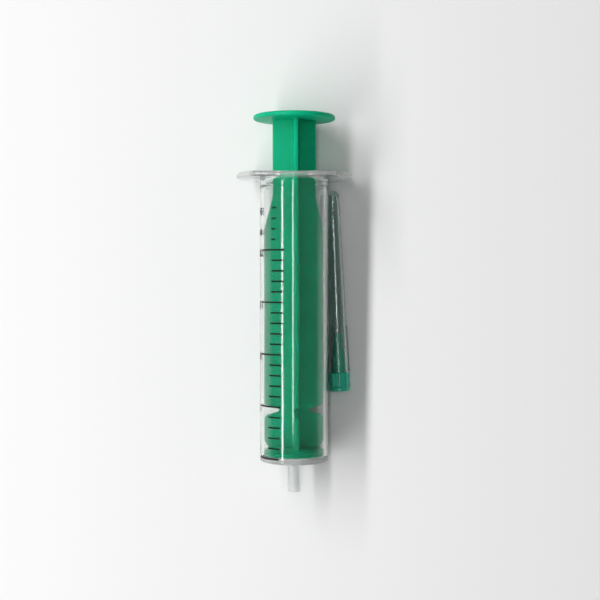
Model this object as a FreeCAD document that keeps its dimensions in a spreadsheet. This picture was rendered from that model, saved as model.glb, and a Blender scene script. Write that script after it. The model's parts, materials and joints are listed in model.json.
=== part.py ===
import FreeCAD, Part

import math
import os

import Sketcher

# A two-part 20 ml syringe lying on its side: a clear barrel with finger wings, a one-piece plunger with a
# cross-shaped stem, and beside the barrel the syringe's own needle in its sheath.
# Lengths are in millimetres and angles in degrees. The barrel is drawn from the nozzle's tip, the plunger
# from the piston's face and the needle from the hub's open end, each with +Z along its axis. They are then
# laid down: the syringe along +Y with the thumb disc at the +Y end, on one flat of the finger flange and
# on the rim of its front end, so that it leans by the difference of the two.

SIZES = {
    # Barrel
    "barrel_bore": 19.7,
    "barrel_wall": 1.1,
    "barrel_length": 91.6,
    "end_wall": 1.65,
    "edge_bevel": 0.45,
    "mouth_flare": 0.5,
    "bead_height": 0.17,
    "bead_width": 0.8,
    "bead_ramp": 0.6,
    "bead_depth": 2.4,
    "flange_width": 36.8,
    "flange_depth": 26.0,
    "flange_thickness": 1.6,
    "flange_root": 1.0,
    "nozzle_length": 10.0,
    "nozzle_tip_width": 4.0,
    "nozzle_bore": 2.0,
    "nozzle_root": 0.6,
    "nozzle_tip_bevel": 0.2,
    "luer_taper": 0.06,
    # Plunger, with its heights counted from the piston's face
    "piston_gap": 0.1,
    "piston_clearance": 0.05,
    "lip_bevel": 0.3,
    "lip_height": 0.65,
    "lip_groove": 0.25,
    "piston_height": 1.6,
    "piston_back": 0.9,
    "neck_inset": 1.7,
    "rib_clearance": 0.25,
    "rib_thickness": 1.2,
    "rib_root_round": 0.5,
    "lobe_rise": 2.4,
    "lobe_round": 1.8,
    "notch_bottom": 12.6,
    "notch_round": 1.5,
    "notch_root_bottom": 14.1,
    "notch_root_top": 14.85,
    "notch_top": 16.3,
    "notch_depth": 4.7,
    "shoulder_drop": 7.3,
    "shoulder_length": 10.5,
    "shoulder_round": 4.0,
    "stem_width": 13.75,
    "thumb_gap": 17.1,
    "thumb_disc_width": 26.1,
    "thumb_disc_thickness": 1.5,
    "thumb_disc_bevel": 0.45,
    "dish_width": 22.0,
    "dish_depth": 0.4,
    "ring_spacing": 3.0,
    "ring_width": 0.7,
    "ring_height": 0.25,
    "plunger_turn": 6.0,
    # Needle
    "hub_length": 18.8,
    "hub_rim_width": 6.8,
    "hub_rim_thickness": 1.2,
    "hub_grip_width": 6.0,
    "hub_grip_length": 6.0,
    "hub_plug_top": 10.5,
    "hub_plug_end_width": 4.5,
    "hub_neck_top": 13.2,
    "hub_nose_root_width": 2.8,
    "hub_nose_width": 2.3,
    "hub_rib_height": 0.3,
    "hub_rib_width": 0.7,
    "hub_plug_clearance": 0.15,
    "fin_thickness": 0.6,
    "fin_top": 14.6,
    "socket_engagement": 5.0,
    "socket_depth": 8.6,
    "throat_width": 0.6,
    "throat_length": 1.0,
    "well_width": 1.6,
    "well_depth": 1.5,
    "cannula_width": 0.82,
    "cannula_bore": 0.5,
    "cannula_clearance": 0.04,
    "needle_reach": 38.0,
    "bevel_angle": 12.0,
    "adhesive_clearance": 0.02,
    "adhesive_crown": 0.35,
    "sheath_seat_gap": 0.1,
    "sheath_length": 59.3,
    "sheath_mouth_width": 6.8,
    "sheath_tip_width": 4.2,
    "sheath_wall": 0.5,
    "sheath_tip_wall": 1.2,
    "sheath_tip_bevel": 1.3,
    "sheath_shoulder_bevel": 0.45,
    "sheath_rib_height": 0.25,
    "sheath_rib_width": 0.8,
    "sheath_rib_length": 15.0,
    # Where the needle lies
    "needle_gap": 0.35,
    "needle_tip_gap": 3.0,
    "needle_yaw": 2.2,
}

THUMB_RINGS = 3
STEM_RIBS = 4
HUB_RIBS = 8
HUB_FINS = 4
SHEATH_RIBS = 8
CLOSE = 1e-3  # two places nearer than this are one

WORKED_OUT = {
    "bore_radius": "barrel_bore / 2",
    "barrel_radius": "bore_radius + barrel_wall",
    "flange_radius": "flange_width / 2",
    "flange_half_depth": "flange_depth / 2",
    "flange_ring_radius": "bore_radius + barrel_wall / 2",
    "nozzle_tip_radius": "nozzle_tip_width / 2",
    "nozzle_root_radius": "nozzle_tip_radius + nozzle_length * luer_taper / 2",
    "nozzle_bore_radius": "nozzle_bore / 2",
    "nozzle_lip_radius": "nozzle_tip_radius - nozzle_tip_bevel",
    "end_face": "nozzle_length",
    "nozzle_root_start": "end_face - nozzle_root",
    "nozzle_flare_radius": "nozzle_root_radius + nozzle_root",
    "end_face_radius": "barrel_radius - edge_bevel",
    "front_edge": "end_face + edge_bevel",
    "barrel_floor": "end_face + end_wall",
    "barrel_mouth": "end_face + barrel_length",
    "mouth_radius": "bore_radius + mouth_flare",
    "mouth_flare_bottom": "barrel_mouth - mouth_flare",
    "bead_radius": "bore_radius - bead_height",
    "bead_top": "barrel_mouth - bead_depth",
    "bead_crest_top": "bead_top - bead_ramp",
    "bead_crest_bottom": "bead_crest_top - bead_width",
    "bead_bottom": "bead_crest_bottom - bead_ramp",
    "flange_front": "barrel_mouth - flange_thickness",
    "flange_root_start": "flange_front - flange_root",
    "flange_root_radius": "barrel_radius + flange_root",
    "lip_radius": "bore_radius - piston_clearance",
    "lip_bevel_radius": "lip_radius - lip_bevel",
    "groove_radius": "lip_radius - lip_groove",
    "groove_bottom": "lip_height + lip_groove",
    "rear_lip_bottom": "piston_height - lip_height + lip_groove",
    "neck_radius": "bore_radius - neck_inset",
    "neck": "piston_height + piston_back",
    "rib_radius": "bore_radius - rib_clearance",
    "half_rib": "rib_thickness / 2",
    "lobe_bottom": "neck + lobe_rise",
    "notch_radius": "rib_radius - notch_depth",
    "stem_radius": "stem_width / 2",
    "mouth_height": "barrel_length - end_wall - piston_gap",
    "shoulder_top": "mouth_height - shoulder_drop",
    "shoulder_bottom": "shoulder_top - shoulder_length",
    "disc_bottom": "mouth_height + thumb_gap",
    "disc_top": "disc_bottom + thumb_disc_thickness",
    "disc_radius": "thumb_disc_width / 2",
    "disc_rim_radius": "disc_radius - thumb_disc_bevel",
    "disc_rim_bottom": "disc_bottom + thumb_disc_bevel",
    "disc_rim_top": "disc_top - thumb_disc_bevel",
    "dish_radius": "dish_width / 2",
    "dish_floor": "disc_top - dish_depth",
    "ring_top": "dish_floor + ring_height",
    "sheath_mouth_radius": "sheath_mouth_width / 2",
    "sheath_root_radius": "sheath_mouth_radius - sheath_rib_height",
    "sheath_tip_radius": "sheath_tip_width / 2",
    "sheath_bore_radius": "sheath_root_radius - sheath_wall",
    "sheath_tip_bore_radius": "sheath_tip_radius - sheath_wall",
    "sheath_floor": "sheath_length - sheath_tip_wall",
    "sheath_slope": "(sheath_root_radius - sheath_tip_radius) / sheath_length",
    "sheath_shoulder": "sheath_length - sheath_tip_bevel",
    "sheath_shoulder_radius": "sheath_tip_radius + sheath_tip_bevel * sheath_slope",
    "sheath_crown": "sheath_length - sheath_shoulder_bevel",
    "sheath_crown_radius": "sheath_tip_radius - sheath_shoulder_bevel",
    "sheath_end_radius": "sheath_tip_radius - sheath_tip_bevel",
    "rib_end_radius": "sheath_mouth_radius - sheath_rib_length * sheath_slope",
    "rib_fade": "sheath_rib_length + 2 * sheath_rib_height",
    "rib_fade_radius": "rib_end_radius - 2 * sheath_rib_height",
    "rib_seat_radius": "sheath_root_radius - sheath_wall / 2",
    "hub_rim_radius": "hub_rim_width / 2",
    "hub_grip_radius": "hub_grip_width / 2",
    "hub_rib_radius": "hub_grip_radius + hub_rib_height",
    "hub_plug_radius": "sheath_bore_radius - hub_plug_clearance",
    "hub_plug_end_radius": "hub_plug_end_width / 2",
    "hub_nose_root_radius": "hub_nose_root_width / 2",
    "hub_nose_radius": "hub_nose_width / 2",
    "socket_radius": "nozzle_tip_radius + socket_engagement * luer_taper / 2",
    "socket_floor_radius": "socket_radius - socket_depth * luer_taper / 2",
    "throat_radius": "throat_width / 2",
    "cannula_start": "socket_depth + throat_length",
    "cannula_radius": "cannula_width / 2",
    "cannula_bore_radius": "cannula_bore / 2",
    "passage_radius": "cannula_radius + cannula_clearance",
    "well_radius": "well_width / 2",
    "well_floor": "hub_length - well_depth",
    "cannula_tip": "hub_length + needle_reach",
    "bevel_length": "cannula_width / tan(bevel_angle * 1 deg)",
    "bevel_margin": "cannula_width",
    "bevel_left": "cannula_radius + bevel_margin",
    "bevel_low": "cannula_tip - bevel_length * (1 + bevel_margin / cannula_width)",
    "bevel_high": "cannula_tip + bevel_length * bevel_margin / cannula_width",
    "adhesive_bore_radius": "cannula_radius + adhesive_clearance",
    "adhesive_radius": "well_radius - adhesive_clearance",
    "adhesive_floor": "well_floor + adhesive_clearance",
    "adhesive_peak": "hub_length + adhesive_crown",
}


def make_sheet(doc):
    """Writes the driving sizes as plain numbers, and the ones that follow from them as formulas."""
    sheet = doc.addObject("Spreadsheet::Sheet", "Sizes")
    cells = [(alias, str(number)) for alias, number in SIZES.items()]
    cells += [(alias, "=" + formula) for alias, formula in WORKED_OUT.items()]
    for ring in range(1, THUMB_RINGS + 1):
        cells.append((f"ring_{ring}_inside", f"={ring} * ring_spacing - ring_width / 2"))
        cells.append((f"ring_{ring}_outside", f"={ring} * ring_spacing + ring_width / 2"))
    for row, (alias, content) in enumerate(cells, start=1):
        sheet.set(f"A{row}", alias.replace("_", " "))
        sheet.set(f"B{row}", content)
        sheet.setAlias(f"B{row}", alias)
    doc.recompute()
    return sheet


doc = FreeCAD.newDocument("syringe")
sheet = make_sheet(doc)


def size(alias):
    """The number behind a name of the sheet, with a minus sign in front of it for its negative."""
    if alias == "0":
        return 0.0
    number = float(sheet.get(alias.lstrip("-")))
    return -number if alias.startswith("-") else number


def cell(alias):
    """The same name as an expression that a feature can be bound to."""
    sign = "-" if alias.startswith("-") else ""
    return f"{sign}Sizes.{alias.lstrip('-')}"


def new_body(label):
    body = doc.addObject("PartDesign::Body", label)
    body.Label = label
    return body


def new_sketch(body, name, role):
    sketch = body.newObject("Sketcher::SketchObject", name)
    plane = next(face for face in body.Origin.OriginFeatures if face.Role == role)
    sketch.AttachmentSupport = [(plane, "")]
    sketch.MapMode = "FlatFace"
    return sketch


def bind(sketch, constraint, alias):
    """Adds a constraint and ties its number to the sheet."""
    number = sketch.addConstraint(constraint)
    sketch.setExpression(f"Constraints[{number}]", cell(alias))


def outline(body, name, role, corners):
    """Sketches a closed outline of straight lines, every corner of it held by two sizes of the sheet."""
    sketch = new_sketch(body, name, role)
    places = [FreeCAD.Vector(size(x), size(y), 0) for x, y in corners]
    for place, following in zip(places, places[1:] + places[:1]):
        sketch.addGeometry(Part.LineSegment(place, following), False)
    for line, (x, y) in enumerate(corners):
        before = (line - 1) % len(corners)
        sketch.addConstraint(Sketcher.Constraint("Coincident", before, 2, line, 1))
        for kind, alias, axis in (("DistanceX", x, -2), ("DistanceY", y, -1)):
            if alias == "0":
                sketch.addConstraint(Sketcher.Constraint("PointOnObject", line, 1, axis))
            else:
                bind(sketch, Sketcher.Constraint(kind, -1, 1, line, 1, size(alias)), alias)
    return sketch


def revolve(body, name, corners):
    """Turns an outline of (radius, height) corners about the body's Z axis."""
    sketch = outline(body, name + "_outline", "XZ_Plane", corners)
    feature = body.newObject("PartDesign::Revolution", name)
    feature.Profile = sketch
    feature.ReferenceAxis = (sketch, ["V_Axis"])
    feature.Angle = 360
    doc.recompute()
    return feature


def pad_both_ways(body, name, sketch, thickness):
    feature = body.newObject("PartDesign::Pad", name)
    feature.Profile = sketch
    feature.SideType = "Symmetric"
    feature.setExpression("Length", cell(thickness))
    doc.recompute()
    return feature


def repeat_around(body, name, feature, count):
    """Repeats a feature evenly around the body's Z axis."""
    pattern = body.newObject("PartDesign::PolarPattern", name)
    axis = next(line for line in body.Origin.OriginFeatures if line.Role == "Z_Axis")
    pattern.Originals = [feature]
    pattern.Axis = (axis, [""])
    pattern.Angle = 360
    pattern.Occurrences = count
    body.Tip = pattern
    doc.recompute()
    return pattern


def dress_edges(body, kind, name, wanted):
    """Adds a fillet or chamfer to the edges of the body so far that one of the given tests picks."""
    base = body.Tip
    edges = [
        f"Edge{number}"
        for number, edge in enumerate(base.Shape.Edges, start=1)
        if any(test(edge) for test in wanted)
    ]
    if not edges:
        raise RuntimeError(f"{body.Label}: {name} found no edge")
    feature = body.newObject(kind, name)
    feature.Base = (base, edges)
    return feature


def round_edges(body, name, radius, wanted):
    feature = dress_edges(body, "PartDesign::Fillet", name, wanted)
    feature.setExpression("Radius", cell(radius))
    doc.recompute()
    return feature


def bevel_edges(body, name, width, wanted):
    feature = dress_edges(body, "PartDesign::Chamfer", name, wanted)
    feature.setExpression("Size", cell(width))
    doc.recompute()
    return feature


def ring_edge(radius, height):
    """Picks arcs and circles of that radius at that height, centred on the axis."""

    def test(edge):
        curve = edge.Curve
        return (
            isinstance(curve, Part.Circle)
            and abs(curve.Radius - size(radius)) < CLOSE
            and abs(curve.Center.z - size(height)) < CLOSE
            and math.hypot(curve.Center.x, curve.Center.y) < CLOSE
        )

    return test


def flat_edge(height):
    """Picks straight edges that lie at that height and run along X."""

    def test(edge):
        ends = [vertex.Point for vertex in edge.Vertexes]
        return (
            isinstance(edge.Curve, Part.Line)
            and all(abs(end.z - size(height)) < CLOSE for end in ends)
            and abs(ends[0].y - ends[1].y) < CLOSE
        )

    return test


def rib_edge(radius, height):
    """Picks the short edges across a rib's thickness at that distance from the axis and that height."""

    def test(edge):
        middle = edge.CenterOfMass
        return (
            isinstance(edge.Curve, Part.Line)
            and abs(edge.Length - size("rib_thickness")) < CLOSE
            and abs(math.hypot(middle.x, middle.y) - size(radius)) < CLOSE
            and abs(middle.z - size(height)) < CLOSE
            and abs(edge.Vertexes[0].Z - edge.Vertexes[1].Z) < CLOSE
        )

    return test


def rib_root(edge):
    """Picks the four inner corners where neighbouring ribs meet."""
    middle = edge.CenterOfMass
    half = size("half_rib")
    return (
        isinstance(edge.Curve, Part.Line)
        and abs(abs(middle.x) - half) < CLOSE
        and abs(abs(middle.y) - half) < CLOSE
        and abs(edge.Curve.Direction.z) > 1 - CLOSE
    )


def make_barrel():
    """A moulded tube with a closed front, a tapered nozzle, a retaining bead in its mouth and two wings."""
    barrel = new_body("barrel")
    revolve(
        barrel,
        "tube_and_nozzle",
        [
            ("nozzle_bore_radius", "0"),
            ("nozzle_lip_radius", "0"),
            ("nozzle_tip_radius", "nozzle_tip_bevel"),
            ("nozzle_root_radius", "nozzle_root_start"),
            ("nozzle_flare_radius", "end_face"),
            ("end_face_radius", "end_face"),
            ("barrel_radius", "front_edge"),
            ("barrel_radius", "flange_root_start"),
            ("flange_root_radius", "flange_front"),
            ("flange_root_radius", "barrel_mouth"),
            ("mouth_radius", "barrel_mouth"),
            ("bore_radius", "mouth_flare_bottom"),
            ("bore_radius", "bead_top"),
            ("bead_radius", "bead_crest_top"),
            ("bead_radius", "bead_crest_bottom"),
            ("bore_radius", "bead_bottom"),
            ("bore_radius", "barrel_floor"),
            ("nozzle_bore_radius", "barrel_floor"),
        ],
    )
    pad = barrel.newObject("PartDesign::Pad", "finger_flange")
    pad.Profile = flange_sketch(barrel)
    pad.setExpression("Length", cell("flange_thickness"))
    doc.recompute()
    rims = [ring_edge("flange_radius", "flange_front"), ring_edge("flange_radius", "barrel_mouth")]
    flats = [flat_edge("flange_front"), flat_edge("barrel_mouth")]
    bevel_edges(barrel, "flange_edges", "edge_bevel", rims + flats)
    return barrel


def flange_sketch(body):
    """A disc of the flange's full width, cut off by two parallel flats, with the tube's place left open."""
    sketch = new_sketch(body, "flange_outline", "XY_Plane")
    sketch.setExpression("AttachmentOffset.Base.z", cell("flange_front"))
    radius, half_depth = size("flange_radius"), size("flange_half_depth")
    corner = math.asin(half_depth / radius)
    axis = FreeCAD.Vector(0, 0, 1)
    disc = Part.Circle(FreeCAD.Vector(0, 0, 0), axis, radius)
    right = Part.ArcOfCircle(disc, -corner, corner)
    left = Part.ArcOfCircle(disc, math.pi - corner, math.pi + corner)
    sketch.addGeometry(right, False)
    sketch.addGeometry(Part.LineSegment(right.EndPoint, left.StartPoint), False)
    sketch.addGeometry(left, False)
    sketch.addGeometry(Part.LineSegment(left.EndPoint, right.StartPoint), False)
    sketch.addGeometry(Part.Circle(FreeCAD.Vector(0, 0, 0), axis, size("flange_ring_radius")), False)
    for first, second in ((0, 1), (1, 2), (2, 3), (3, 0)):
        sketch.addConstraint(Sketcher.Constraint("Coincident", first, 2, second, 1))
    for round_piece in (0, 2, 4):
        sketch.addConstraint(Sketcher.Constraint("Coincident", round_piece, 3, -1, 1))
    sketch.addConstraint(Sketcher.Constraint("Equal", 0, 2))
    sketch.addConstraint(Sketcher.Constraint("Horizontal", 1))
    sketch.addConstraint(Sketcher.Constraint("Horizontal", 3))
    bind(sketch, Sketcher.Constraint("Radius", 0, radius), "flange_radius")
    bind(sketch, Sketcher.Constraint("Radius", 4, size("flange_ring_radius")), "flange_ring_radius")
    bind(sketch, Sketcher.Constraint("DistanceY", -1, 1, 1, 1, half_depth), "flange_half_depth")
    bind(sketch, Sketcher.Constraint("DistanceY", 3, 1, -1, 1, half_depth), "flange_half_depth")
    return sketch


def make_plunger():
    """Piston, four ribs and thumb disc in one moulding. Each rib is notched behind the piston, runs at the
    bore's width through the barrel and narrows to a slim stem before it leaves the mouth."""
    plunger = new_body("plunger")
    revolve(
        plunger,
        "piston",
        [
            ("0", "0"),
            ("lip_bevel_radius", "0"),
            ("lip_radius", "lip_bevel"),
            ("lip_radius", "lip_height"),
            ("groove_radius", "groove_bottom"),
            ("lip_radius", "rear_lip_bottom"),
            ("lip_radius", "piston_height"),
            ("neck_radius", "neck"),
            ("0", "neck"),
        ],
    )
    rib = outline(
        plunger,
        "rib_outline",
        "XZ_Plane",
        [
            ("0", "piston_height"),
            ("neck_radius", "piston_height"),
            ("neck_radius", "neck"),
            ("rib_radius", "lobe_bottom"),
            ("rib_radius", "notch_bottom"),
            ("notch_radius", "notch_root_bottom"),
            ("notch_radius", "notch_root_top"),
            ("rib_radius", "notch_top"),
            ("rib_radius", "shoulder_bottom"),
            ("stem_radius", "shoulder_top"),
            ("stem_radius", "disc_bottom"),
            ("0", "disc_bottom"),
        ],
    )
    pad = pad_both_ways(plunger, "rib", rib, "rib_thickness")
    repeat_around(plunger, "cross", pad, STEM_RIBS)
    revolve(
        plunger,
        "thumb_disc",
        [
            ("0", "disc_bottom"),
            ("disc_rim_radius", "disc_bottom"),
            ("disc_radius", "disc_rim_bottom"),
            ("disc_radius", "disc_rim_top"),
            ("disc_rim_radius", "disc_top"),
            ("dish_radius", "disc_top"),
            ("dish_radius", "dish_floor"),
            ("0", "dish_floor"),
        ],
    )
    for ring in range(1, THUMB_RINGS + 1):
        inside, outside = f"ring_{ring}_inside", f"ring_{ring}_outside"
        corners = [
            (inside, "disc_bottom"),
            (outside, "disc_bottom"),
            (outside, "ring_top"),
            (inside, "ring_top"),
        ]
        revolve(plunger, f"thumb_ring_{ring}", corners)
    round_edges(plunger, "lobe_corners", "lobe_round", [rib_edge("rib_radius", "lobe_bottom")])
    round_edges(plunger, "notch_corners", "notch_round", [rib_edge("rib_radius", "notch_bottom")])
    shoulders = [rib_edge("rib_radius", "shoulder_bottom"), rib_edge("stem_radius", "shoulder_top")]
    round_edges(plunger, "shoulders", "shoulder_round", shoulders)
    round_edges(plunger, "rib_roots", "rib_root_round", [rib_root])
    return plunger


def make_needle_hub():
    """A moulded hub: a tapered socket for the nozzle, a ribbed grip, a plug that the sheath is pushed over
    and a finned neck whose nose holds the tube in a well of adhesive."""
    hub = new_body("needle_hub")
    revolve(
        hub,
        "shell",
        [
            ("socket_radius", "0"),
            ("hub_rim_radius", "0"),
            ("hub_rim_radius", "hub_rim_thickness"),
            ("hub_grip_radius", "hub_rim_thickness"),
            ("hub_grip_radius", "hub_grip_length"),
            ("hub_plug_radius", "hub_grip_length"),
            ("hub_plug_end_radius", "hub_plug_top"),
            ("hub_nose_root_radius", "hub_neck_top"),
            ("hub_nose_radius", "hub_length"),
            ("well_radius", "hub_length"),
            ("well_radius", "well_floor"),
            ("passage_radius", "well_floor"),
            ("passage_radius", "cannula_start"),
            ("throat_radius", "cannula_start"),
            ("throat_radius", "socket_depth"),
            ("socket_floor_radius", "socket_depth"),
        ],
    )
    grip_rib = outline(
        hub,
        "grip_rib_outline",
        "XZ_Plane",
        [
            ("hub_plug_radius", "hub_rim_thickness"),
            ("hub_rib_radius", "hub_rim_thickness"),
            ("hub_rib_radius", "hub_grip_length"),
            ("hub_plug_radius", "hub_grip_length"),
        ],
    )
    repeat_around(hub, "grip_ribs", pad_both_ways(hub, "grip_rib", grip_rib, "hub_rib_width"), HUB_RIBS)
    fin = outline(
        hub,
        "fin_outline",
        "XZ_Plane",
        [
            ("hub_nose_radius", "hub_plug_top"),
            ("hub_plug_end_radius", "hub_plug_top"),
            ("hub_nose_root_radius", "fin_top"),
            ("hub_nose_radius", "fin_top"),
        ],
    )
    repeat_around(hub, "fins", pad_both_ways(hub, "fin", fin, "fin_thickness"), HUB_FINS)
    return hub


def make_cannula():
    """A drawn steel tube, ground to one slanting bevel at its point."""
    cannula = new_body("needle_cannula")
    revolve(
        cannula,
        "tube",
        [
            ("cannula_bore_radius", "cannula_start"),
            ("cannula_radius", "cannula_start"),
            ("cannula_radius", "cannula_tip"),
            ("cannula_bore_radius", "cannula_tip"),
        ],
    )
    before = cannula.Shape.Volume
    bevel = cannula.newObject("PartDesign::Pocket", "bevel")
    corners = [("-bevel_left", "bevel_low"), ("bevel_left", "bevel_high"), ("-bevel_left", "bevel_high")]
    bevel.Profile = outline(cannula, "bevel_outline", "YZ_Plane", corners)
    bevel.SideType = "Symmetric"
    bevel.setExpression("Length", "2 * " + cell("cannula_width"))
    doc.recompute()
    if cannula.Shape.Volume >= before:
        raise RuntimeError("the bevel cut nothing from the needle")
    return cannula


def make_adhesive():
    """The ring of cured adhesive around the tube in the hub's nose, crowned where it wetted the steel."""
    adhesive = new_body("needle_adhesive")
    revolve(
        adhesive,
        "bead",
        [
            ("adhesive_bore_radius", "adhesive_floor"),
            ("adhesive_radius", "adhesive_floor"),
            ("adhesive_radius", "hub_length"),
            ("adhesive_bore_radius", "adhesive_peak"),
        ],
    )
    return adhesive


def make_sheath():
    """A long tapered cap with a closed round tip and grip ribs beside its mouth."""
    sheath = new_body("needle_sheath")
    revolve(
        sheath,
        "cap",
        [
            ("sheath_bore_radius", "0"),
            ("sheath_root_radius", "0"),
            ("sheath_shoulder_radius", "sheath_shoulder"),
            ("sheath_crown_radius", "sheath_crown"),
            ("sheath_end_radius", "sheath_length"),
            ("0", "sheath_length"),
            ("0", "sheath_floor"),
            ("sheath_tip_bore_radius", "sheath_floor"),
        ],
    )
    rib = outline(
        sheath,
        "grip_rib_outline",
        "XZ_Plane",
        [
            ("rib_seat_radius", "0"),
            ("sheath_mouth_radius", "0"),
            ("rib_end_radius", "sheath_rib_length"),
            ("rib_fade_radius", "rib_fade"),
        ],
    )
    pad = pad_both_ways(sheath, "grip_rib", rib, "sheath_rib_width")
    repeat_around(sheath, "grip_ribs", pad, SHEATH_RIBS)
    return sheath


def lie_down(across, along, up, lean, yaw, shift):
    """Lays a piece whose axis is +Z along +Y, its far end raised by lean and turned left by yaw, with its
    own point (0, 0, shift) at (across, along, up)."""
    x_axis, z_axis = FreeCAD.Vector(1, 0, 0), FreeCAD.Vector(0, 0, 1)
    turn = FreeCAD.Rotation(z_axis, yaw) * FreeCAD.Rotation(x_axis, lean - 90)
    place = FreeCAD.Placement(FreeCAD.Vector(across, along, up), turn)
    return place * FreeCAD.Placement(FreeCAD.Vector(0, 0, -shift), FreeCAD.Rotation())


def place_syringe(barrel, plunger):
    """The flange's lower flat and the barrel's front rim both rest on the floor, and the origin is under
    the middle. Both rest on the corner behind a bevel of one width."""
    flange_front = size("flange_front") - size("end_face")
    lean = math.atan((size("flange_half_depth") - size("barrel_radius")) / flange_front)
    up = size("barrel_radius") * math.cos(lean) - size("edge_bevel") * math.sin(lean)
    disc_rear = size("disc_top") + size("end_wall") + size("piston_gap")
    far = disc_rear * math.cos(lean) + size("disc_rim_radius") * math.sin(lean)
    near = -size("nozzle_length") * math.cos(lean) - size("nozzle_lip_radius") * math.sin(lean)
    along = -(far + near) / 2
    lean_degrees = math.degrees(lean)
    barrel.Placement = lie_down(0, along, up, lean_degrees, 0, size("end_face"))
    turn = FreeCAD.Rotation(FreeCAD.Vector(0, 0, 1), size("plunger_turn"))
    piston_face = size("end_wall") + size("piston_gap")
    upright = lie_down(0, along, up, lean_degrees, 0, -piston_face)
    plunger.Placement = upright * FreeCAD.Placement(FreeCAD.Vector(), turn)
    return along + flange_front * math.cos(lean)


def place_needle(hub, cannula, adhesive, sheath, flange_front):
    """The sheathed needle lies on its side on the floor, its tip just short of the finger flange, whose
    front is at flange_front. A cone lies with its axis leaning by its own half angle."""
    half_angle = math.atan(size("sheath_slope"))
    yaw = math.radians(size("needle_yaw"))
    mouth = size("hub_grip_length") + size("sheath_seat_gap")
    tip = mouth + size("sheath_length")
    open_end_radius = size("sheath_mouth_radius") + mouth * size("sheath_slope")
    mouth_across = size("barrel_radius") + size("needle_gap") + size("sheath_mouth_radius")
    across = mouth_across + mouth * math.sin(yaw)
    along = flange_front - size("needle_tip_gap") - tip * math.cos(yaw)
    up = open_end_radius * math.cos(half_angle)
    lean, turn = -math.degrees(half_angle), size("needle_yaw")
    for piece in (hub, cannula, adhesive):
        piece.Placement = lie_down(across, along, up, lean, turn, 0)
    sheath.Placement = lie_down(across, along, up, lean, turn, -mouth)


def check_document():
    for thing in doc.Objects:
        if "Invalid" in thing.State or "Error" in thing.State:
            raise RuntimeError(f"{thing.Name} failed: {thing.State}")


def write_part(body):
    shape = body.Shape
    if shape.isNull() or not shape.isValid() or len(shape.Solids) != 1:
        raise RuntimeError(f"{body.Label} is not one sound solid")
    shape.exportStep(os.path.join("parts", body.Label + ".step"))
    box = shape.BoundBox
    print(
        f"{body.Label}: {shape.Volume:.1f} mm3, "
        f"X {box.XMin:.2f} {box.XMax:.2f}, Y {box.YMin:.2f} {box.YMax:.2f}, Z {box.ZMin:.2f} {box.ZMax:.2f}"
    )


barrel = make_barrel()
plunger = make_plunger()
hub = make_needle_hub()
cannula = make_cannula()
adhesive = make_adhesive()
sheath = make_sheath()
flange_front = place_syringe(barrel, plunger)
place_needle(hub, cannula, adhesive, sheath, flange_front)
doc.recompute()
check_document()
os.makedirs("parts", exist_ok=True)
for body in (barrel, plunger, hub, cannula, adhesive, sheath):
    write_part(body)
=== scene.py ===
import json
import math

import bmesh
import bpy
import numpy as np
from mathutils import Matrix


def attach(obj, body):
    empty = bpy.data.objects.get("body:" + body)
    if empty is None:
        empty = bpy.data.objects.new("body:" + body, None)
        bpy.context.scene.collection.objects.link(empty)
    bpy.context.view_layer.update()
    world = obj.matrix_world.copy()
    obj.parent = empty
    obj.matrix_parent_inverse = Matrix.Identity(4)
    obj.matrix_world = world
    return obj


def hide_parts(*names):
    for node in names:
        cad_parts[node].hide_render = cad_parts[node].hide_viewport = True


# A two-part 20 ml syringe: clear barrel with a printed scale, green one-piece plunger, and the syringe's
# own needle in its sheath beside the barrel. Lengths are in millimetres until a mesh is made.

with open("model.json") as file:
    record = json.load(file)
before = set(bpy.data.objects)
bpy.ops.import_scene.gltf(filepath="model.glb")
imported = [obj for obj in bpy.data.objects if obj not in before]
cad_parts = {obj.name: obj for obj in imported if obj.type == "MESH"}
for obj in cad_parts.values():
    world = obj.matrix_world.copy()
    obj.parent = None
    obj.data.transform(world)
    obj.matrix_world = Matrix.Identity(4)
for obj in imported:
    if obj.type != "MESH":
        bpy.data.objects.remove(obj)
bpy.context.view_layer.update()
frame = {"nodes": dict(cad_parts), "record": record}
MOUNTS = {mount["name"]: mount for mount in frame["record"]["mounts"]}

MM = 0.001
TURN = 2 * math.pi

# Barrel, in stations from the nozzle's tip
BORE = 9.85
BARREL = MOUNTS["barrel_body"]["dims"]["r_mm"]
NOZZLE_LENGTH = 10.0
NOZZLE_TIP = 2.0
LUER_SLOPE = 0.03
NOZZLE_BORE = 1.0
BARREL_LENGTH = 91.6
END_WALL = 1.65
MOUTH = NOZZLE_LENGTH + BARREL_LENGTH
FLANGE_THICKNESS = 1.6
FLANGE_RADIUS = 18.4
FLANGE_HALF_DEPTH = 13.0
FLANGE_ROOT = 1.0
EDGE_ROUND = 0.45
MOUTH_FLARE = 0.5
BEAD_DEPTH = 2.4
BEAD_RAMP = 0.6
BEAD_WIDTH = 0.8
BEAD_HEIGHT = 0.17

# Plunger, in stations from the piston's face
PISTON_FACE = NOZZLE_LENGTH + END_WALL + 0.1
LIP = 9.8
LIP_GROOVE = 0.25
PISTON_HEIGHT = 1.6
NECK = 8.15
NECK_STATION = 2.5
RIB_REACH = 9.6
HALF_RIB = 0.6
RIB_ROOT_ROUND = 0.5
LOBE = (4.9, 12.6)
NOTCH = (14.1, 14.85)
NOTCH_END = 16.3
NOTCH_DEPTH = 4.7
STEM = 6.875
MOUTH_STATION = MOUTH - PISTON_FACE
SHOULDER_TOP = MOUTH_STATION - 7.3
SHOULDER_BOTTOM = SHOULDER_TOP - 10.5
DISC_BOTTOM = MOUTH_STATION + 17.1
DISC_THICKNESS = 1.5
DISC_RADIUS = 13.05
DISH_RADIUS = 11.0
DISH_DEPTH = 0.4
THUMB_RINGS = (3.0, 6.0, 9.0)
RING_HALF_FOOT = 0.45
RING_HALF_TOP = 0.25
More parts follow.
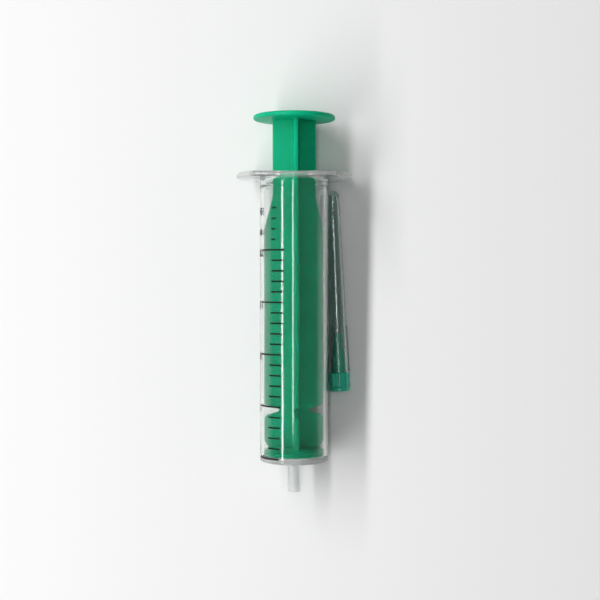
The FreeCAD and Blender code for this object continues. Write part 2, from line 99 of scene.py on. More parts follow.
RING_HEIGHT = 0.25
STEM_ENDS = (PISTON_HEIGHT - 0.4, DISC_BOTTOM + 0.5)
PLUNGER_TURN = math.radians(6.0)

# Printed scale, with places round the barrel in degrees from its top line
ML = 3.281
FULL = 20
LAST_MARK = 24
MARK = (-49, -25.5)
MARK_PAST_FULL = (-51, -43)
LONG_MARK_START = -77
MARK_WIDTH = 0.48
ZERO_MARK_WIDTH = 0.6
FIGURE_PLACE = -88
FIGURE_DROP = 0.8
FIGURE_HEIGHT = 2.4
FIGURE_SHARE_OF_SIZE = 0.73
STROKE_SWELL = 0.07
INK_THICKNESS = 0.03
PRINT_SLANT = 0.5

# Needle, in stations from the hub's open end
HUB_LENGTH = 18.8
HUB_RIM = 3.4
HUB_RIM_THICKNESS = 1.2
HUB_GRIP = 3.0
HUB_GRIP_LENGTH = 6.0
HUB_PLUG = 2.5
HUB_PLUG_END = 2.25
HUB_PLUG_TOP = 10.5
HUB_NOSE_ROOT = 1.4
HUB_NOSE_START = 13.2
HUB_NOSE = 1.15
HUB_RIB_HEIGHT = 0.3
FIN_TOP = 14.6
SOCKET_MOUTH = 2.15
SOCKET_DEPTH = 8.6
THROAT = 0.3
THROAT_LENGTH = 1.0
PASSAGE = 0.45
WELL = 0.8
WELL_DEPTH = 1.5
SHEATH_START = 6.1
SHEATH_LENGTH = 59.3
SHEATH_MOUTH = 3.4
SHEATH_TIP = 2.1
SHEATH_WALL = 0.5
SHEATH_TIP_WALL = 1.2
SHEATH_RIB_HEIGHT = 0.25
SHEATH_RIB_END = 15.5
GRIP_RIBS = 8
HUB_FINS = 4

# Strength of the room: on matt surfaces from all sides, and above eye level as each kind of ray sees it
ROOM = 0.21
ABOVE = {"Is Glossy Ray": 0.04, "Is Transmission Ray": 0.3, "Is Camera Ray": 1.0}


def linear(code):
    """An sRGB hex code as linear red, green, blue and a full alpha."""
    parts = np.array([int(code[i:i + 2], 16) for i in (1, 3, 5)]) / 255
    parts = np.where(parts <= 0.04045, parts / 12.92, ((parts + 0.055) / 1.055) ** 2.4)
    return (*parts.tolist(), 1.0)


def add_node(tree, kind, inputs=None, **settings):
    """Adds a node with its settings, and fills or links its inputs."""
    node = tree.nodes.new(kind)
    for name, value in settings.items():
        setattr(node, name, value)
    for name, value in (inputs or {}).items():
        if isinstance(value, bpy.types.NodeSocket):
            tree.links.new(value, node.inputs[name])
        else:
            node.inputs[name].default_value = value
    return node


def new_material(name):
    """An empty material, its tree, and its place in millimetres."""
    material = bpy.data.materials.new(name)
    material.use_nodes = True
    tree = material.node_tree
    tree.nodes.clear()
    place = add_node(tree, "ShaderNodeTexCoord").outputs["Object"]
    millimetres = add_node(tree, "ShaderNodeVectorMath", {0: place, 3: 1 / MM}, operation="SCALE")
    return material, tree, millimetres.outputs[0]


def finish_material(tree, settings):
    shader = add_node(tree, "ShaderNodeBsdfPrincipled", settings)
    add_node(tree, "ShaderNodeOutputMaterial", {"Surface": shader.outputs[0]})


def noise(tree, place, size, detail=2.0, stretch=(1, 1, 1)):
    """Soft noise whose lumps are about size millimetres across."""
    scaled = add_node(tree, "ShaderNodeMapping", {"Vector": place, "Scale": stretch})
    settings = {"Vector": scaled.outputs[0], "Scale": 1 / size, "Detail": detail, "Roughness": 0.55}
    return add_node(tree, "ShaderNodeTexNoise", settings).outputs[0]


def between(tree, factor, low, high):
    """A number that goes from low to high as the noise does over its middle half."""
    settings = {"Value": factor, "From Min": 0.3, "From Max": 0.7, "To Min": low, "To Max": high}
    return add_node(tree, "ShaderNodeMapRange", settings).outputs[0]


def tinted(tree, factor, low, high):
    """A colour between two hex codes."""
    settings = {"Factor": factor, 6: linear(low), 7: linear(high)}
    return add_node(tree, "ShaderNodeMix", settings, data_type="RGBA").outputs[2]


def bumps(tree, heights):
    """The normal of a surface with several layers of (height in millimetres, factor) on it."""
    normal = None
    for depth, factor in heights:
        settings = {"Height": factor, "Strength": 1.0, "Distance": depth * MM}
        if normal is not None:
            settings["Normal"] = normal
        normal = add_node(tree, "ShaderNodeBump", settings).outputs[0]
    return normal


def clear_polypropylene():
    # Clear moulded polypropylene: nearly colourless, a little hazy, with the faint waves that the melt's
    # flow leaves in the wall, which break a reflection into soft streaks. Polypropylene clouds as it gets
    # thicker, so the flange, above all its wings, and the closed front are milky beside the thin wall.
    material, tree, place = new_material("clear_moulded_polypropylene")
    waves = noise(tree, place, 7.0, 1.0, (1, 0.25, 1))
    haze = noise(tree, place, 1.2, 3.0)
    across, along = add_node(tree, "ShaderNodeSeparateXYZ", {0: place}).outputs[:2]
    out = add_node(tree, "ShaderNodeMath", {0: across}, operation="ABSOLUTE").outputs[0]
    wing = {"Value": out, "From Min": BARREL + 0.1, "From Max": BARREL + 3.0, "To Min": 1.0, "To Max": 0.55}
    tip = MOUNTS["luer_nozzle"]["pos_m"][1] / MM
    floor, flange = tip + NOZZLE_LENGTH + END_WALL, tip + MOUTH - FLANGE_THICKNESS
    front = {"Value": along, "From Min": floor - 0.3, "From Max": floor + 0.5, "To Min": 0.7, "To Max": 1.0}
    rear = {"Value": along, "From Min": flange - 0.6, "From Max": flange + 0.4, "To Min": 1.0, "To Max": 0.75}
    ranges = [add_node(tree, "ShaderNodeMapRange", settings).outputs[0] for settings in (wing, front, rear)]
    clear = ranges[0]
    for other in ranges[1:]:
        clear = add_node(tree, "ShaderNodeMath", {0: clear, 1: other}, operation="MINIMUM").outputs[0]
    finish_material(tree, {
        "Base Color": tinted(tree, haze, "#f6faf8", "#fdfefe"),
        "Roughness": between(tree, haze, 0.05, 0.1),
        "IOR": 1.49,
        "Specular Tint": (0.8, 0.8, 0.8, 1.0),
        "Transmission Weight": clear,
        "Normal": bumps(tree, [(0.05, waves), (0.0015, haze)]),
    })
    return material


def green_polyethylene():
    # High-density polyethylene, dyed green in the melt and moulded: waxy, lit from within at thin edges,
    # with the fine grain of a spark-eroded mould.
    material, tree, place = new_material("green_moulded_polyethylene")
    clouds = noise(tree, place, 9.0, 2.0)
    grain = noise(tree, place, 0.25, 2.0)
    finish_material(tree, {
        "Base Color": tinted(tree, between(tree, clouds, 0.0, 1.0), "#01b082", "#04bc8c"),
        "Roughness": between(tree, grain, 0.36, 0.48),
        "IOR": 1.54,
        "Specular IOR Level": 0.12,
        "Subsurface Weight": 0.25,
        "Subsurface Radius": (0.2, 1.0, 0.65),
        "Subsurface Scale": 1.2 * MM,
        "Normal": bumps(tree, [(0.01, grain), (0.03, clouds)]),
    })
    return material


def black_ink():
    # Pad-printed black ink: a thin matt film, slightly uneven where the pad lifted.
    material, tree, place = new_material("black_printing_ink")
    speckle = noise(tree, place, 0.2, 2.0)
    finish_material(tree, {
        "Base Color": tinted(tree, speckle, "#050807", "#101413"),
        "Roughness": between(tree, speckle, 0.45, 0.65),
        "IOR": 1.5,
        "Specular IOR Level": 0.2,
        "Normal": bumps(tree, [(0.004, speckle)]),
    })
    return material


def green_hub_polypropylene():
    # Moulded polypropylene, dyed the code green of a 0.8 mm needle but still translucent.
    material, tree, place = new_material("translucent_green_polypropylene")
    clouds = noise(tree, place, 2.5, 2.0)
    finish_material(tree, {
        "Base Color": tinted(tree, clouds, "#2fcaa6", "#45d8b8"),
        "Roughness": between(tree, clouds, 0.16, 0.28),
        "IOR": 1.49,
        "Transmission Weight": 0.15,
        "Normal": bumps(tree, [(0.01, clouds)]),
    })
    return material


def tinted_polypropylene_with_painted_shade():
    # Thin moulded polypropylene, frosted a little by its mould, so that the hub's plug and the needle inside
    # show only as soft shapes. Its faint grey blue-green tint is partly painted shade: it darkens the
    # sheath towards the slate colour of the barrel's shade that it lies in.
    material, tree, place = new_material("smoky_moulded_polypropylene")
    clouds = noise(tree, place, 4.0, 2.0, (1, 0.3, 1))
    finish_material(tree, {
        # painted shade in part: this tint darkens the whole sheath towards the colour of the shade beside the
        # barrel
        "Base Color": tinted(tree, clouds, "#d9eae6", "#e7f3f0"),
        "Roughness": between(tree, clouds, 0.06, 0.12),
        "IOR": 1.49,
        "Transmission Weight": 1.0,
        "Normal": bumps(tree, [(0.012, clouds)]),
    })
    return material


def drawn_steel():
    # Stainless steel tube, drawn and ground: bright, with fine scratches along its length.
    material, tree, place = new_material("drawn_stainless_steel")
    scratches = noise(tree, place, 0.12, 2.0, (1, 0.05, 1))
    finish_material(tree, {
        "Base Color": tinted(tree, scratches, "#b9bcbd", "#d2d4d4"),
        "Metallic": 1.0,
        "Roughness": between(tree, scratches, 0.2, 0.34),
        "Normal": bumps(tree, [(0.002, scratches)]),
    })
    return material


def cured_adhesive():
    # Ultraviolet-cured acrylic adhesive: clear, glossy, a little yellow, drawn up smooth round the tube.
    material, tree, place = new_material("cured_acrylic_adhesive")
    clouds = noise(tree, place, 0.6, 1.0)
    finish_material(tree, {
        "Base Color": tinted(tree, clouds, "#f0eed8", "#f7f5e4"),
        "Roughness": between(tree, clouds, 0.05, 0.12),
        "IOR": 1.5,
        "Transmission Weight": 0.9,
        "Normal": bumps(tree, [(0.01, clouds)]),
    })
    return material


def rounded(corners, steps=5):
    """A closed outline of (x, y, rounding) corners. Each corner becomes an arc of that rounding which
    touches both its runs: its points turn evenly about the arc's centre, which lies on the corner's
    bisector at the rounding over the sine of half the corner's angle."""
    table = np.array(corners, float)
    corner, rounding = table[:, :2], table[:, 2]
    to_last = np.roll(corner, 1, 0) - corner
    to_next = np.roll(corner, -1, 0) - corner
    to_last /= np.linalg.norm(to_last, axis=1, keepdims=True)
    to_next /= np.linalg.norm(to_next, axis=1, keepdims=True)
    half = np.arccos(np.clip((to_last * to_next).sum(1), -1, 1)) / 2
    bisector = (to_last + to_next) / np.maximum(np.linalg.norm(to_last + to_next, axis=1), 1e-9)[:, None]
    centre = corner + bisector * (rounding / np.sin(half))[:, None]
    reach = (rounding / np.tan(half))[:, None]
    start, end = corner + to_last * reach - centre, corner + to_next * reach - centre
    swing = np.maximum(math.pi - 2 * half, 1e-6)[:, None, None]
    share = np.linspace(0, 1, steps)[None, :, None]
    arcs = centre[:, None] + (
        np.sin((1 - share) * swing) * start[:, None] + np.sin(share * swing) * end[:, None]
    ) / np.sin(swing)
    plain = rounding <= 0
    arcs[plain] = corner[plain][:, None]
    kept = np.ones(arcs.shape[:2], bool)
    kept[plain, 1:] = False
    return arcs[kept]


def divided(outline, longest):
    """The same closed outline with points added evenly on runs that are longer than longest."""
    following = np.roll(outline, -1, 0)
    pieces = np.maximum(np.ceil(np.linalg.norm(following - outline, axis=1) / longest).astype(int), 1)
    run = np.repeat(np.arange(len(outline)), pieces)
    step = np.arange(pieces.sum()) - np.repeat(np.cumsum(pieces) - pieces, pieces)
    share = (step / pieces[run])[:, None]
    return outline[run] * (1 - share) + following[run] * share


def turned(radius, height, angle):
    """Points at those radii and heights, turned about Z by those angles from the X axis."""
    radius, height, angle = np.broadcast_arrays(radius, height, angle)
    return np.stack([radius * np.cos(angle), radius * np.sin(angle), height], -1)


def with_ends(grid):
    """The grid with its first and last rings closed to a point at their middles."""
    first = np.broadcast_to(grid[:1].mean(1, keepdims=True), (1, *grid.shape[1:]))
    last = np.broadcast_to(grid[-1:].mean(1, keepdims=True), (1, *grid.shape[1:]))
    return np.concatenate([first, grid, last])


def grid_faces(rows, columns, ring):
    """Four-cornered faces between neighbouring points. Columns run round; rows do too if it is a ring."""
    row = np.arange(rows if ring else rows - 1)[:, None] * columns
    following = (row + columns) % (rows * columns)
    column = np.arange(columns)[None, :]
    beside = (column + 1) % columns
    return np.stack([row + column, row + beside, following + beside, following + column], -1).reshape(-1, 4)


def laid(points, origin, direction):
    """Points of a piece whose axis is Z, moved so that Z runs along direction from origin, with X level."""
    direction = np.array(direction) / np.linalg.norm(direction)
    across = np.cross(direction, (0, 0, 1))
    across /= np.linalg.norm(across)
    axes = np.stack([across, np.cross(direction, across), direction])
    return np.array(origin) + points @ axes * MM


def along_syringe(points):
    """Stations are counted from the nozzle's tip."""
    nozzle = MOUNTS["luer_nozzle"]
    return laid(points, nozzle["pos_m"], -np.array(nozzle["axis"]))


def along_plunger(points):
    """The plunger stands in the barrel a little turned, and its stations start at the piston's face."""
    cos, sin = math.cos(PLUNGER_TURN), math.sin(PLUNGER_TURN)
    turn = np.array([[cos, sin, 0], [-sin, cos, 0], [0, 0, 1]])
    return along_syringe(points @ turn + (0, 0, PISTON_FACE))


def along_needle(points):
    socket = MOUNTS["needle_socket"]
    return laid(points, socket["pos_m"], -np.array(socket["axis"]))


def skin(name, grids, place, material, crease=35):
    """A mesh of closed surfaces, each a grid of points with its rings either meeting or closed to a point."""
    mesh = bpy.data.meshes.new(name)
    points, faces, count = [], [], 0
    for grid, ring in grids:
        rows, columns = grid.shape[:2]
        points.append(grid.reshape(-1, 3))
        faces.append(grid_faces(rows, columns, ring) + count)
        count += rows * columns
    mesh.from_pydata(place(np.concatenate(points)), [], np.concatenate(faces).tolist())
    return finished(name, mesh, material, crease)


def finished(name, mesh, material, crease=35):
    """Closes seams and poles, turns faces outwards, smooths all but sharp edges and makes the object."""
    shape = bmesh.new()
    shape.from_mesh(mesh)
    bmesh.ops.remove_doubles(shape, verts=shape.verts, dist=0.0005 * MM)
    bmesh.ops.recalc_face_normals(shape, faces=shape.faces)
    shape.to_mesh(mesh)
    shape.free()
    mesh.shade_smooth()
    mesh.set_sharp_from_angle(angle=math.radians(crease))
    mesh.materials.append(material)
    piece = bpy.data.objects.new(name, mesh)
    bpy.context.scene.collection.objects.link(piece)
    return piece


def flange_reach(angle):
    """How far the flange reaches at an angle from its long axis: a circle cut by two flats."""
    flats = FLANGE_HALF_DEPTH / np.maximum(np.abs(np.sin(angle)), 1e-6)
    return np.minimum(FLANGE_RADIUS, flats)


def barrel_angles(columns_each=56):
    """Angles round the barrel with a column on each of the flange's four corners."""
    corner = math.asin(FLANGE_HALF_DEPTH / FLANGE_RADIUS)
    corners = [-corner, corner, math.pi - corner, math.pi + corner, TURN - corner]
    spans = [np.linspace(a, b, columns_each, endpoint=False) for a, b in zip(corners, corners[1:])]
    return np.concatenate(spans)


def make_barrel(material):
    """One outline turned about the axis. Outside the flange's root its radius follows the flange's reach:
    its rim shifts with the reach and what lies between root and rim stretches evenly."""
    root_end = BARREL + FLANGE_ROOT
    nozzle_root = NOZZLE_TIP + NOZZLE_LENGTH * LUER_SLOPE
    floor = NOZZLE_LENGTH + END_WALL
    front = MOUTH - FLANGE_THICKNESS
    bead = MOUTH - BEAD_DEPTH - BEAD_RAMP
    outline = rounded([
        (NOZZLE_BORE, 0, 0.1),
        (NOZZLE_TIP, 0, 0.2),
        (nozzle_root, NOZZLE_LENGTH, 0.6),
        (BARREL, NOZZLE_LENGTH, EDGE_ROUND),
        (BARREL, front, FLANGE_ROOT),
        (FLANGE_RADIUS, front, EDGE_ROUND),
        (FLANGE_RADIUS, MOUTH, EDGE_ROUND),
        (BORE + MOUTH_FLARE, MOUTH, 0.12),
        (BORE, MOUTH - MOUTH_FLARE, 0.12),
        (BORE, bead + BEAD_RAMP, 0.2),
        (BORE - BEAD_HEIGHT, bead, 0.3),
        (BORE - BEAD_HEIGHT, bead - BEAD_WIDTH, 0.3),
        (BORE, bead - BEAD_WIDTH - BEAD_RAMP, 0.2),
        (BORE, floor, 0.3),
        (NOZZLE_BORE, floor, 0.15),
    ])
    outline = divided(outline, 4.0)
    angle = barrel_angles()[None, :]
    radius = outline[:, :1]
    rim = FLANGE_RADIUS - EDGE_ROUND
    reach = flange_reach(angle)
    stretched = root_end + (radius - root_end) * (reach - EDGE_ROUND - root_end) / (rim - root_end)
    shifted = radius - FLANGE_RADIUS + reach
    radius = np.where(radius > rim, shifted, np.where(radius > root_end, stretched, radius))
    grid = turned(radius, outline[:, 1:], angle)
    return skin("barrel_moulding", [(grid, True)], along_syringe, material)


def stem_reach(station):
    """How far each rib reaches from the axis at a station: out of the piston's neck into a round-cornered
    lobe, in to a notch, out to full width, and down a straight shoulder to the stem."""
    corners = rounded([
        (STEM_ENDS[0], NECK, 0),
        (NECK_STATION, NECK, 0.2),
        (LOBE[0], RIB_REACH, 1.8),
        (LOBE[1], RIB_REACH, 1.5),
        (NOTCH[0], RIB_REACH - NOTCH_DEPTH, 0.3),
        (NOTCH[1], RIB_REACH - NOTCH_DEPTH, 0.3),
        (NOTCH_END, RIB_REACH, 0.2),
        (SHOULDER_BOTTOM, RIB_REACH, 4.0),
        (SHOULDER_TOP, STEM, 4.0),
        (STEM_ENDS[1], STEM, 0),
        (STEM_ENDS[1], 0, 0),
        (STEM_ENDS[0], 0, 0),
    ], 12)[:-2]
    return np.interp(station, corners[:, 0], corners[:, 1])


def cross_section(reach, edge=0.15, root_steps=5, edge_steps=3):
    """Four ribs at right angles. One quarter runs from a rib's middle over its rounded edge, along its
    side and round the root to the next rib; its points' places are the reach times one weight plus a
    fixed distance, and the other quarters are it turned."""
    turn = np.linspace(0, math.pi / 2, edge_steps)
    root = np.linspace(0, math.pi / 2, root_steps)
    inner = HALF_RIB + RIB_ROOT_ROUND
    tip_x, tip_y = edge * np.cos(turn) - edge, HALF_RIB - edge + edge * np.sin(turn)
    root_x = inner - RIB_ROOT_ROUND * np.sin(root)
    root_y = inner - RIB_ROOT_ROUND * np.cos(root)
    weight = np.concatenate([np.ones(edge_steps), np.zeros(root_steps), np.zeros(edge_steps)])
    fixed_x = np.concatenate([tip_x, root_x, tip_y[::-1]])
    fixed_y = np.concatenate([tip_y, root_y, tip_x[::-1]])
    x = reach[:, None] * weight + fixed_x
    y = reach[:, None] * weight[::-1] + fixed_y
    quarters = [(x, y), (-y, x), (-x, -y), (y, -x)]
    return np.concatenate([np.stack(quarter, -1) for quarter in quarters], 1)


def make_plunger(material):
    """Piston and thumb disc are outlines turned about the axis, and the stem between them is the cross
    section carried along it. They run into each other, as one moulding."""
    piston = rounded([
        (0, 0, 0),
        (LIP - 0.3, 0, 0.1),
        (LIP, 0.3, 0.15),
        (LIP, 0.65, 0.1),
        (LIP - LIP_GROOVE, 0.9, 0.1),
        (LIP, 1.2, 0.1),
        (LIP, PISTON_HEIGHT, 0.1),
        (NECK, NECK_STATION, 0.3),
        (0, NECK_STATION, 0),
    ])
    top, floor = DISC_BOTTOM + DISC_THICKNESS, DISC_BOTTOM + DISC_THICKNESS - DISH_DEPTH
    crest = floor + RING_HEIGHT
    rings = []
    for ring in reversed(THUMB_RINGS):
        rings += [(ring + RING_HALF_FOOT, floor, 0.1), (ring + RING_HALF_TOP, crest, 0.1)]
        rings += [(ring - RING_HALF_TOP, crest, 0.1), (ring - RING_HALF_FOOT, floor, 0.1)]
    disc = rounded([
        (0, DISC_BOTTOM, 0),
        (DISC_RADIUS, DISC_BOTTOM, 0.6),
        (DISC_RADIUS, top, 0.6),
        (DISH_RADIUS, top, 0.15),
        (DISH_RADIUS - 0.3, floor, 0.15),
        *rings,
        (0, floor, 0),
    ])
    angle = np.linspace(0, TURN, 192, endpoint=False)[None, :]
    solids = [(turned(outline[:, :1], outline[:, 1:], angle), True) for outline in (piston, disc)]
    station = np.concatenate([
        np.linspace(STEM_ENDS[0], 18, 90),
        np.linspace(18.5, SHOULDER_BOTTOM - 3, 20),
        np.linspace(SHOULDER_BOTTOM - 2, SHOULDER_TOP + 2, 40),
        np.linspace(SHOULDER_TOP + 3, STEM_ENDS[1], 12),
    ])
    section = cross_section(stem_reach(station))
    stem = np.concatenate([section, np.broadcast_to(station[:, None, None], (*section.shape[:2], 1))], -1)
    solids.append((with_ends(stem), False))
    return skin("plunger_moulding", solids, along_plunger, material)


def facing(angle):
    """The angle from the X axis of a line on the barrel that lies angle degrees from its top line."""
    return math.radians(angle - 90)


def mark(start, end, station, width):
    """A printed line round the barrel: its rectangular section, half sunk in the wall, carried from one
    angle to the other."""
    angle = np.linspace(facing(start), facing(end), max(int(abs(end - start) / 2), 4))[:, None]
    radius = BARREL + INK_THICKNESS * np.array([-1, 1, 1, -1])
    height = station + width / 2 * np.array([-1, -1, 1, 1])
    return with_ends(turned(radius, height, angle)), False


def make_scale(material):
    """Fine marks each millilitre and long ones each fifth, counted from the floor of the bore. They are
    printed a little aslant: each lies half a degree further round than the one before."""
    marks = []
    for millilitre in range(LAST_MARK + 1):
        station = NOZZLE_LENGTH + END_WALL + millilitre * ML
        left, right = MARK if millilitre <= FULL else MARK_PAST_FULL
        if millilitre % 5 == 0:
            left = LONG_MARK_START
        slant = PRINT_SLANT * millilitre
        width = ZERO_MARK_WIDTH if millilitre == 0 else MARK_WIDTH
        marks.append(mark(left + slant, right + slant, station, width))
    return skin("scale_marks", marks, along_syringe, material)


def make_numeral(words, millilitre, material):
    """Plain figures beside a mark, extruded flat and then bent round the barrel: their width becomes arc
    and their thickness radius. They stand upright when the nozzle points up."""
    station = NOZZLE_LENGTH + END_WALL + millilitre * ML - FIGURE_DROP
    angle = PRINT_SLANT * millilitre + FIGURE_PLACE
    font = bpy.data.curves.new("figures", "FONT")
    font.body = words
    font.align_x = "CENTER"
    font.align_y = "CENTER"
    font.size = FIGURE_HEIGHT / FIGURE_SHARE_OF_SIZE
    font.extrude = INK_THICKNESS
    font.offset = STROKE_SWELL
    font.resolution_u = 4
    text = bpy.data.objects.new("figures", font)
    bpy.context.scene.collection.objects.link(text)
    mesh = bpy.data.meshes.new_from_object(text.evaluated_get(bpy.context.evaluated_depsgraph_get()))
    bpy.data.objects.remove(text)
    bpy.data.curves.remove(font)
    flat = np.empty(len(mesh.vertices) * 3, np.float32)
    mesh.vertices.foreach_get("co", flat)
    flat = flat.reshape(-1, 3).astype(float)
    round_barrel = turned(BARREL + flat[:, 2], station - flat[:, 1], facing(angle) - flat[:, 0] / BARREL)
    mesh.vertices.foreach_set("co", along_syringe(round_barrel).astype(np.float32).ravel())
    mesh.materials.clear()
    return finished("figure_" + words, mesh, material)


def ribs_round(angle, count, width, radius):
    """One where a rib stands and nought between, soft over a tenth of a millimetre at its edges."""
    offset = (angle * count / TURN + 0.5) % 1 - 0.5
    distance = np.abs(offset) * TURN / count * radius
    return 0.5 + 0.5 * np.tanh((width / 2 - distance) / 0.05)


def make_sheath(material):
    """A tapered cap: a closed outline turned about the axis, with ribs that raise its outside by the mouth
    and fade out."""
    root = SHEATH_MOUTH - SHEATH_RIB_HEIGHT
    outline = rounded([
        (root - SHEATH_WALL, 0, 0.1),
        (root, 0, 0.15),
        (SHEATH_TIP, SHEATH_LENGTH, 1.3),
        (0, SHEATH_LENGTH, 0),
        (0, SHEATH_LENGTH - SHEATH_TIP_WALL, 0),
        (SHEATH_TIP - SHEATH_WALL, SHEATH_LENGTH - SHEATH_TIP_WALL, 0.8),
    ], 10)
    outline = divided(outline, 0.5)
    radius, height = outline[:, :1], outline[:, 1:]
    slope = (root - SHEATH_TIP) / SHEATH_LENGTH
    outside = radius > root - height * slope - SHEATH_WALL / 2
    angle = np.linspace(0, TURN, 256, endpoint=False)[None, :]
    fade = np.clip((SHEATH_RIB_END - height) / 0.5, 0, 1) * np.clip(height / 0.15, 0, 1)
    ribs = SHEATH_RIB_HEIGHT * ribs_round(angle, GRIP_RIBS, 0.8, SHEATH_MOUTH)
    raised = ribs * np.where(outside, fade, 0)
    grid = turned(radius + raised, height + SHEATH_START, angle)
    return skin("sheath_moulding", [(grid, True)], along_needle, material)


def make_hub(material):
    """A closed outline turned about the axis: rim, ribbed grip, plug, finned neck and nose outside, and
    the tapered socket, throat, passage and glue well inside. Ribs and fins raise the outside."""
    throat_end, well_floor = SOCKET_DEPTH + THROAT_LENGTH, HUB_LENGTH - WELL_DEPTH
    outline = rounded([
        (SOCKET_MOUTH, 0, 0.1),
        (HUB_RIM, 0, 0.2),
        (HUB_RIM, HUB_RIM_THICKNESS, 0.15),
        (HUB_GRIP, HUB_RIM_THICKNESS, 0.1),
        (HUB_GRIP, HUB_GRIP_LENGTH, 0.15),
        (HUB_PLUG, HUB_GRIP_LENGTH, 0.1),
        (HUB_PLUG_END, HUB_PLUG_TOP, 0.2),
        (HUB_NOSE_ROOT, HUB_NOSE_START, 0.5),
        (HUB_NOSE, HUB_LENGTH, 0.15),
        (WELL, HUB_LENGTH, 0.1),
        (WELL, well_floor, 0.1),
        (PASSAGE, well_floor, 0.05),
        (PASSAGE, throat_end, 0.02),
        (THROAT, throat_end, 0.02),
        (THROAT, SOCKET_DEPTH, 0.02),
        (SOCKET_MOUTH - SOCKET_DEPTH * LUER_SLOPE, SOCKET_DEPTH, 0.2),
    ])
    outline = divided(outline, 0.3)
    radius, height = outline[:, :1], outline[:, 1:]
    angle = np.linspace(0, TURN, 256, endpoint=False)[None, :]
    on_grip = (radius > HUB_GRIP - 0.1) & (height > HUB_RIM_THICKNESS + 0.1) & (height < HUB_GRIP_LENGTH)
    grip = np.where(on_grip, HUB_RIB_HEIGHT * np.clip((HUB_GRIP_LENGTH - height) / 0.2, 0, 1), 0)
    up_fin = (height - HUB_PLUG_TOP) / (FIN_TOP - HUB_PLUG_TOP)
    fin_reach = HUB_PLUG_END + (HUB_NOSE_ROOT - HUB_PLUG_END) * up_fin
    on_neck = (radius > HUB_NOSE - 0.05) & (height > HUB_PLUG_TOP) & (height < FIN_TOP)
    fins = np.where(on_neck, np.maximum(fin_reach - radius, 0), 0)
    raised = grip * ribs_round(angle, GRIP_RIBS, 0.7, 3.2) + fins * ribs_round(angle, HUB_FINS, 0.6, 1.8)
    return skin("hub_moulding", [(turned(radius + raised, height, angle), True)], along_needle, material)


def stand_for(piece, node, body):
    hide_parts(node)
    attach(piece, body)


def seen_directly(tree):
    """One for what is seen straight, in a reflection or through a clear wall, and nought for light on its
    way to a matt surface."""
    path = add_node(tree, "ShaderNodeLightPath").outputs
    seen = 0.0
    for kind in ABOVE:
        seen = add_node(tree, "ShaderNodeMath", {0: seen, 1: path[kind]}, operation="MAXIMUM").outputs[0]
    return seen


def make_floor():
    """A disc of matt white card under everything: rings of points at growing radii about the middle. It
    looks plain white away from the object, where the soft boxes no longer reach it."""
    angle = np.linspace(0, TURN, 96, endpoint=False)[None, :]
    radius = np.array([0, 50, 200, 700])[:, None]
    points = turned(radius, 0.0, angle)
    mesh = bpy.data.meshes.new("floor")
    mesh.from_pydata(points.reshape(-1, 3) * MM, [], grid_faces(*points.shape[:2], False).tolist())
    material, tree, place = new_material("matt_white_card")
    fibres = noise(tree, place, 0.4, 2.0)
    card = add_node(tree, "ShaderNodeBsdfPrincipled", {
        "Base Color": tinted(tree, fibres, "#f6f7f6", "#fafafa"),
        "Roughness": 0.9,
        "Specular IOR Level": 0.1,
    })
    white = add_node(tree, "ShaderNodeEmission", {"Color": (1, 1, 1, 1), "Strength": 1.0})
    away = add_node(tree, "ShaderNodeVectorMath", {0: place}, operation="LENGTH").outputs["Value"]
    fade = {"Value": away, "From Min": 150.0, "From Max": 450.0}
    far = add_node(tree, "ShaderNodeMapRange", fade, interpolation_type="SMOOTHSTEP").outputs[0]
    direct = seen_directly(tree)
    share = add_node(tree, "ShaderNodeMath", {0: far, 1: direct}, operation="MULTIPLY").outputs[0]
    mixed = add_node(tree, "ShaderNodeMixShader", {0: share, 1: card.outputs[0], 2: white.outputs[0]})
    add_node(tree, "ShaderNodeOutputMaterial", {"Surface": mixed.outputs[0]})
    finished("floor", mesh, material)


def add_lamp(name, azimuth, elevation, distance, height, width, watts):
    """An oblong soft box that looks at the middle of the object from that far, in metres. Azimuth runs from
    +X towards +Y."""
    light = bpy.data.lights.new(name, "AREA")
    light.shape = "RECTANGLE"
    light.size = height
    light.size_y = width
    light.energy = watts
    lamp = bpy.data.objects.new(name, light)
    turn, rise = math.radians(azimuth), math.radians(elevation)
    away = np.array([math.cos(turn) * math.cos(rise), math.sin(turn) * math.cos(rise), math.sin(rise)])
    lamp.location = away * distance
    tilt = math.pi / 2 - rise
    lamp.rotation_euler = (0, tilt, turn)
    bpy.context.scene.collection.objects.link(lamp)


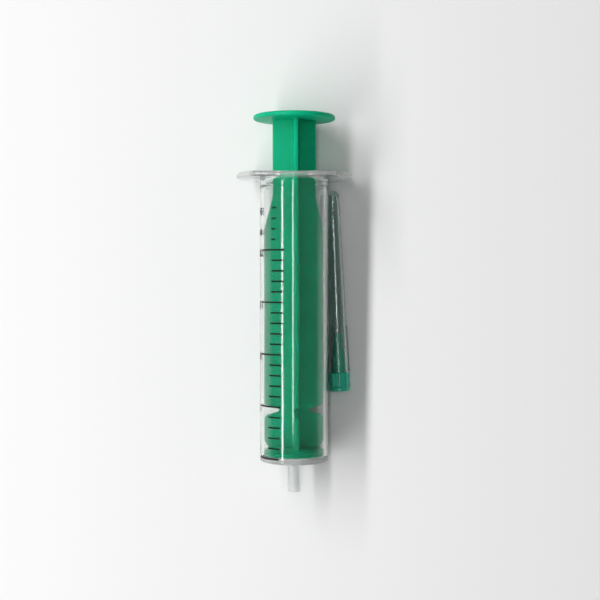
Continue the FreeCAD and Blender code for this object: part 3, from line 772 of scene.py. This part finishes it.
def set_light():
    """A white room with a long narrow soft box at the left and a weaker one nearly overhead. What shows of
    the room in a reflection or through a clear wall is white up to eye level and dim above it, as a studio
    is."""
    scene = bpy.context.scene
    scene.view_settings.view_transform = "Standard"
    world = bpy.data.worlds.new("room")
    world.use_nodes = True
    tree = world.node_tree
    tree.nodes.clear()
    direction = add_node(tree, "ShaderNodeTexCoord").outputs["Generated"]
    upward = add_node(tree, "ShaderNodeSeparateXYZ", {0: direction}).outputs[2]
    path = add_node(tree, "ShaderNodeLightPath").outputs
    surface = add_node(tree, "ShaderNodeBackground", {"Color": (1, 1, 1, 1), "Strength": ROOM}).outputs[0]
    for kind, above in ABOVE.items():
        fall = {"Value": upward, "From Min": -0.15, "From Max": 0.15, "To Min": 1.0, "To Max": above}
        shown = add_node(tree, "ShaderNodeMapRange", fall).outputs[0]
        seen = add_node(tree, "ShaderNodeBackground", {"Color": (1, 1, 1, 1), "Strength": shown}).outputs[0]
        surface = add_node(tree, "ShaderNodeMixShader", {0: path[kind], 1: surface, 2: seen}).outputs[0]
    add_node(tree, "ShaderNodeOutputWorld", {"Surface": surface})
    scene.world = world
    add_lamp("soft_box", azimuth=180, elevation=50, distance=0.8, height=0.07, width=2.0, watts=9.2)
    add_lamp("top_box", azimuth=180, elevation=86, distance=1.0, height=0.07, width=0.4, watts=1.0)


def set_camera():
    """Straight above, with +Y up in the picture, over the barrel a little to the needle's side. The focal
    length is measured in pixels of the square picture."""
    station, aside, height = NOZZLE_LENGTH + 51.4, 1.86, 370.0
    focal_pixels, picture_pixels, film = 1156, 600, 36
    over = along_syringe(np.array([[0, 0, station]]))[0]
    camera = bpy.data.cameras.new("camera")
    camera.lens = focal_pixels / picture_pixels * film
    camera.sensor_width = film
    camera.clip_start = 0.01
    stand = bpy.data.objects.new("camera", camera)
    stand.location = over + np.array([aside, 0, height]) * MM
    bpy.context.scene.collection.objects.link(stand)
    bpy.context.scene.camera = stand


ink = black_ink()
barrel = make_barrel(clear_polypropylene())
stand_for(barrel, "barrel", "barrel")
plunger = make_plunger(green_polyethylene())
stand_for(plunger, "plunger", "plunger")
printing = [make_scale(ink)]
for words, millilitre in (("5", 5), ("10", 10), ("15", 15), ("20", 20), ("24", 24), ("ml", 21.9)):
    printing.append(make_numeral(words, millilitre, ink))
for piece in printing:
    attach(piece, "barrel")
# the sheath's tint is partly painted shade
sheath = make_sheath(tinted_polypropylene_with_painted_shade())
stand_for(sheath, "needle_sheath", "barrel")
hub = make_hub(green_hub_polypropylene())
stand_for(hub, "needle_hub", "needle")
for node, material in (("needle_cannula", drawn_steel()), ("needle_adhesive", cured_adhesive())):
    frame["nodes"][node].data.materials.clear()
    frame["nodes"][node].data.materials.append(material)
make_floor()
set_light()
set_camera()
